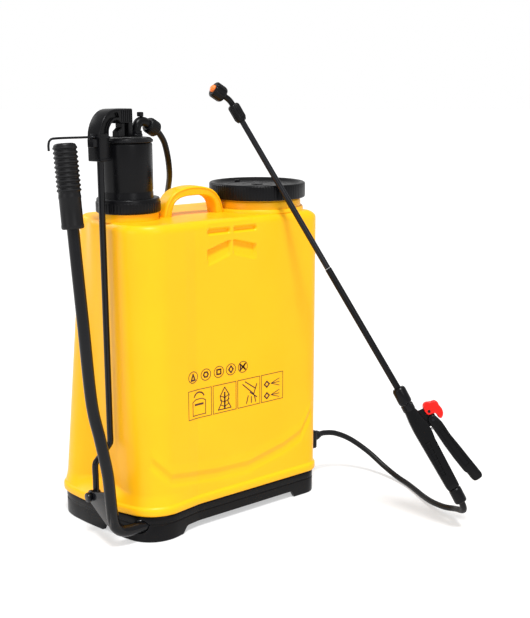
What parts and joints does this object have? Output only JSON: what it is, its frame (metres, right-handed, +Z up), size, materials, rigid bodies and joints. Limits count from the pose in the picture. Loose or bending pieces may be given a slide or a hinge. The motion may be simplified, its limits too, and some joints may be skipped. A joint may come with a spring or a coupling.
{
  "type": "backpack sprayer",
  "caption": "Knapsack sprayer: upright tank on a tray base with screw lid, side pump lever, outside air chamber, shoulder straps, hose and a trigger lance.",
  "frame": {"origin": "on the ground, under the middle of the tank", "axes": "+Z up; +X to the right along the tank's width, towards the filler lid; -Y out of the plain front face, +Y towards the wearer's back"},
  "size_m": [0.4814, 0.4451, 0.5655],
  "materials": {
    "tank_yellow": "satin, slightly glossy blow-moulded plastic",
    "black_plastic": "satin moulded plastic",
    "black_rubber": "matte",
    "red_plastic": "glossy",
    "orange_plastic": "satin",
    "black_steel": "gloss black paint",
    "bright_steel": "bright zinc plate",
    "webbing": "woven polypropylene webbing",
    "white_plastic": "natural white plastic"
  },
  "bodies": {
    "tank": {"tank_shell": "tank_yellow", "base_tray": "black_plastic", "axle_block": "black_plastic", "pump_barrel": "white_plastic", "barrel_gasket": "black_rubber", "inlet_valve_seat": "white_plastic", "inlet_valve_ball": "bright_steel", "suction_strainer": "white_plastic", "filler_strainer": "white_plastic", "strap_anchor_left": "black_plastic", "strap_anchor_right": "black_plastic", "strap_hook_left": "black_plastic", "strap_hook_right": "black_plastic", "strap_left": "webbing", "strap_right": "webbing", "strap_pad_left": "webbing", "strap_pad_right": "webbing", "hose_clip": "black_plastic", "hose_back": "black_rubber", "hose_guide": "black_plastic", "hose_cone": "black_rubber", "hose_free": "black_rubber"},
    "lever": {"lever_tube": "black_steel", "lever_grip": "black_rubber", "crank_pin": "bright_steel", "pin_clip": "bright_steel", "axle_collar": "bright_steel"},
    "rod": {"connecting_rod": "black_steel"},
    "pump": {"air_chamber": "black_plastic", "chamber_cap": "black_plastic", "goose_neck": "black_plastic", "hook_pivot": "black_steel", "outlet_elbow": "black_plastic", "bleed_screw": "black_plastic", "hose_nut": "black_plastic", "hose_upper": "black_rubber", "piston_body": "white_plastic", "piston_cup": "black_rubber", "outlet_valve_ball": "bright_steel"},
    "hook": {"wire_hook": "black_steel"},
    "lid_carrier": {"lid_gasket": "black_rubber"},
    "lid": {"lid": "black_plastic", "lid_vent": "black_plastic"},
    "pump_nut": {"ring_nut": "black_plastic"},
    "gun": {"gun_body": "black_plastic", "gun_hose_nut": "black_plastic", "gun_lance_nut": "black_plastic", "hose_tail": "black_plastic", "trigger_pin": "black_steel", "lock_pin": "black_steel"},
    "trigger": {"trigger": "black_plastic"},
    "valve": {"valve_pin": "bright_steel"},
    "lock": {"trigger_lock": "red_plastic"},
    "lance": {"lance_sleeve": "black_plastic", "lance_tube": "black_plastic", "lance_nut": "black_plastic", "nozzle_elbow": "black_plastic"},
    "nozzle": {"nozzle_cap": "black_plastic", "nozzle_tip": "orange_plastic"}
  },
  "joints": [
    {"name": "lever_swing", "type": "hinge", "parent": "tank", "child": "lever", "pos_m": [-0.133, -0.072, 0.019], "axis": [-1, 0, 0], "range_deg": [0, 45]},
    {"name": "rod_pivot", "type": "hinge", "parent": "lever", "child": "rod", "pos_m": [-0.153, -0.027, 0.056], "axis": [-1, 0, 0], "range_deg": [-47.5, 0.5]},
    {"name": "pump_stroke", "type": "slide", "parent": "tank", "child": "pump", "axis": [0, 0, -1], "range_m": [0, 0.043], "deforming": ["hose_upper"]},
    {"name": "hook_swing", "type": "hinge", "parent": "pump", "child": "hook", "pos_m": [-0.14227, -0.03136, 0.503], "axis": [0, 0, -1], "range_deg": [0, 75]},
    {"name": "lid_lift", "type": "slide", "parent": "tank", "child": "lid_carrier", "axis": [0, 0, 1], "range_m": [0, 0.0041]},
    {"name": "lid_turn", "type": "hinge", "parent": "lid_carrier", "child": "lid", "pos_m": [0.108, -0.02, 0.426], "axis": [0, 0, 1], "range_deg": [0, 360]},
    {"name": "pump_nut_turn", "type": "hinge", "parent": "tank", "child": "pump_nut", "pos_m": [-0.0846, -0.01, 0.418], "axis": [0, 0, 1], "range_deg": [0, 360]},
    {"name": "gun_tip", "type": "hinge", "parent": "tank", "child": "gun", "pos_m": [0.23773, -0.28766, 0.01843], "axis": [0.8457, 0.5337, 0], "range_deg": [0, 15]},
    {"name": "trigger_pull", "type": "hinge", "parent": "gun", "child": "trigger", "pos_m": [0.20923, -0.25781, 0.14389], "axis": [0.5956, 0.7751, -0.211], "range_deg": [0, 5], "stiffness_Nm_per_rad": 3, "springref_deg": -2.86},
    {"name": "valve_push", "type": "slide", "parent": "gun", "child": "valve", "axis": [-0.7617, 0.4616, -0.4546], "range_m": [0, 0.00092]},
    {"name": "lock_turn", "type": "hinge", "parent": "gun", "child": "lock", "pos_m": [0.20656, -0.25286, 0.1545], "axis": [-0.5956, -0.7751, 0.211], "range_deg": [0, 35]},
    {"name": "lance_turn", "type": "hinge", "parent": "gun", "child": "lance", "pos_m": [0.182, -0.229, 0.174], "axis": [-0.2866, 0.4541, 0.8436], "range_deg": [-90, 90]},
    {"name": "nozzle_turn", "type": "hinge", "parent": "lance", "child": "nozzle", "pos_m": [0.04828, -0.02858, 0.54846], "axis": [-0.8305, 0.1701, 0.5303], "range_deg": [-180, 180]}
  ],
  "couplings": [
    {"joint": "rod_pivot", "follows": "lever_swing", "ratio": -1.037},
    {"joint": "pump_stroke", "follows": "lever_swing", "m_per_rad": 0.0543},
    {"joint": "lid_lift", "follows": "lid_turn", "m_per_rad": 0.000637},
    {"joint": "valve_push", "follows": "trigger_pull", "m_per_rad": 0.0105}
  ]
}
